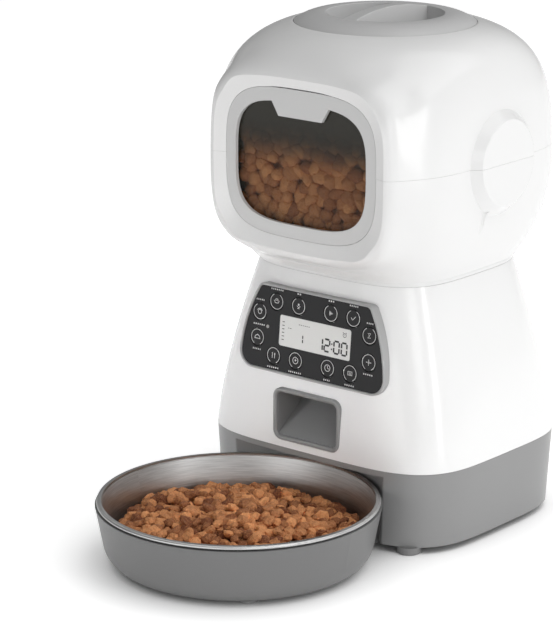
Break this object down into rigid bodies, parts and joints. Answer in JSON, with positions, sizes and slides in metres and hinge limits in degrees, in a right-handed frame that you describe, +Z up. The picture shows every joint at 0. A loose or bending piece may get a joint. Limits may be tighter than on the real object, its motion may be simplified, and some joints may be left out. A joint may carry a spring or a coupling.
{
  "type": "automatic pet feeder",
  "caption": "Automatic dry food feeder: rounded tank head with a smoked window and lift-off lid, key panel, outlet chute and a pull-out bowl.",
  "frame": {"origin": "on the floor, under the middle of the whole object's box", "axes": "+Z up, -Y towards the bowl and the key panel, +X to the right hand of someone facing the feeder's front"},
  "size_m": [0.1869, 0.3083, 0.315],
  "materials": {
    "white_shell": "gloss",
    "lid_grey": "satin",
    "lid_plug": "matte",
    "base_grey": "satin",
    "holder_grey": "satin",
    "chute_grey": "semi gloss",
    "steel": "brushed",
    "smoked_lens": "clear gloss",
    "panel_silver": "satin",
    "panel_black": "gloss",
    "display": "gloss",
    "lamp": "gloss",
    "hopper": "matte",
    "rotor": "soft matte",
    "gears": "matte",
    "drive_metal": "satin",
    "inner_black": "matte",
    "board": "satin",
    "cells": "gloss",
    "rubber": "matte"
  },
  "bodies": {
    "root": {"head_upper_shell": "white_shell", "head_lower_shell": "white_shell", "window_bezel": "white_shell", "body_shell": "white_shell", "neck_collar": "white_shell", "base_shell": "base_grey", "outlet_chute": "chute_grey", "window_lens": "smoked_lens", "panel_frame": "panel_silver", "panel_plate": "panel_black", "display": "display", "battery_lamp": "lamp", "hopper_funnel": "hopper", "rotor_pan": "hopper", "idler_pin": "drive_metal", "motor": "drive_metal", "gearbox_screws": "drive_metal", "base_screws": "drive_metal", "battery_contacts": "drive_metal", "gearbox_housing": "inner_black", "gearbox_cover": "inner_black", "battery_tray": "inner_black", "base_floor": "inner_black", "speaker": "inner_black", "microphone": "inner_black", "power_jack": "inner_black", "circuit_board": "board", "battery_cells": "cells", "base_feet": "rubber"},
    "lid_ring": {"lid_plug": "lid_plug", "lid_seal": "rubber"},
    "lid": {"lid_cover": "lid_grey"},
    "holder": {"bowl_holder": "holder_grey", "holder_feet": "rubber"},
    "bowl": {"steel_bowl": "steel"},
    "rotor": {"rotor": "rotor", "rotor_shaft": "drive_metal", "output_gear": "gears"},
    "idler": {"idler_gear": "gears"},
    "pinion": {"motor_pinion": "gears"},
    "battery_door": {"battery_door": "inner_black"},
    "key_01": {"key_01": "panel_black"},
    "key_02": {"key_02": "panel_black"},
    "key_03": {"key_03": "panel_black"},
    "key_04": {"key_04": "panel_black"},
    "key_05": {"key_05": "panel_black"},
    "key_06": {"key_06": "panel_black"},
    "key_07": {"key_07": "panel_black"},
    "key_08": {"key_08": "panel_black"},
    "key_09": {"key_09": "panel_black"},
    "key_10": {"key_10": "panel_black"},
    "key_11": {"key_11": "panel_black"},
    "key_12": {"key_12": "panel_black"}
  },
  "joints": [
    {"name": "lid_lift", "type": "slide", "parent": "root", "child": "lid_ring", "axis": [0, 0, 1], "range_m": [0, 0.06]},
    {"name": "lid_twist", "type": "hinge", "parent": "lid_ring", "child": "lid", "pos_m": [0, 0.0693, 0.305], "axis": [0, 0, 1], "range_deg": [0, 40]},
    {"name": "holder_pull", "type": "slide", "parent": "root", "child": "holder", "axis": [0, -1, 0], "range_m": [0, 0.09]},
    {"name": "bowl_turn", "type": "hinge", "parent": "holder", "child": "bowl", "pos_m": [0, -0.0676, 0.02], "axis": [0, 0, 1], "continuous": true},
    {"name": "rotor_spin", "type": "hinge", "parent": "root", "child": "rotor", "pos_m": [0, 0.0736, 0.13], "axis": [0, 0, 1], "continuous": true},
    {"name": "idler_spin", "type": "hinge", "parent": "root", "child": "idler", "pos_m": [0, 0.0976, 0.11], "axis": [0, 0, 1], "continuous": true},
    {"name": "pinion_spin", "type": "hinge", "parent": "root", "child": "pinion", "pos_m": [0, 0.1186, 0.11], "axis": [0, 0, 1], "continuous": true},
    {"name": "battery_door_slide", "type": "slide", "parent": "root", "child": "battery_door", "axis": [0, 1, 0], "range_m": [0, 0.0059]},
    {"name": "key_01_press", "type": "slide", "parent": "root", "child": "key_01", "axis": [0, 0.9961, -0.0884], "range_m": [0, 0.0007], "stiffness_N_per_m": 900, "springref_m": -0.0003},
    {"name": "key_02_press", "type": "slide", "parent": "root", "child": "key_02", "axis": [0, 0.9961, -0.0884], "range_m": [0, 0.0007], "stiffness_N_per_m": 900, "springref_m": -0.0003},
    {"name": "key_03_press", "type": "slide", "parent": "root", "child": "key_03", "axis": [0, 0.9961, -0.0884], "range_m": [0, 0.0007], "stiffness_N_per_m": 900, "springref_m": -0.0003},
    {"name": "key_04_press", "type": "slide", "parent": "root", "child": "key_04", "axis": [0, 0.9961, -0.0884], "range_m": [0, 0.0007], "stiffness_N_per_m": 900, "springref_m": -0.0003},
    {"name": "key_05_press", "type": "slide", "parent": "root", "child": "key_05", "axis": [0, 0.9961, -0.0884], "range_m": [0, 0.0007], "stiffness_N_per_m": 900, "springref_m": -0.0003},
    {"name": "key_06_press", "type": "slide", "parent": "root", "child": "key_06", "axis": [0, 0.9961, -0.0884], "range_m": [0, 0.0007], "stiffness_N_per_m": 900, "springref_m": -0.0003},
    {"name": "key_07_press", "type": "slide", "parent": "root", "child": "key_07", "axis": [0, 0.9961, -0.0884], "range_m": [0, 0.0007], "stiffness_N_per_m": 900, "springref_m": -0.0003},
    {"name": "key_08_press", "type": "slide", "parent": "root", "child": "key_08", "axis": [0, 0.9961, -0.0884], "range_m": [0, 0.0007], "stiffness_N_per_m": 900, "springref_m": -0.0003},
    {"name": "key_09_press", "type": "slide", "parent": "root", "child": "key_09", "axis": [0, 0.9961, -0.0884], "range_m": [0, 0.0007], "stiffness_N_per_m": 900, "springref_m": -0.0003},
    {"name": "key_10_press", "type": "slide", "parent": "root", "child": "key_10", "axis": [0, 0.9961, -0.0884], "range_m": [0, 0.0007], "stiffness_N_per_m": 900, "springref_m": -0.0003},
    {"name": "key_11_press", "type": "slide", "parent": "root", "child": "key_11", "axis": [0, 0.9961, -0.0884], "range_m": [0, 0.0007], "stiffness_N_per_m": 900, "springref_m": -0.0003},
    {"name": "key_12_press", "type": "slide", "parent": "root", "child": "key_12", "axis": [0, 0.9961, -0.0884], "range_m": [0, 0.0007], "stiffness_N_per_m": 900, "springref_m": -0.0003}
  ],
  "couplings": [
    {"joint": "idler_spin", "follows": "rotor_spin", "ratio": -3},
    {"joint": "pinion_spin", "follows": "rotor_spin", "ratio": 9.6}
  ]
}
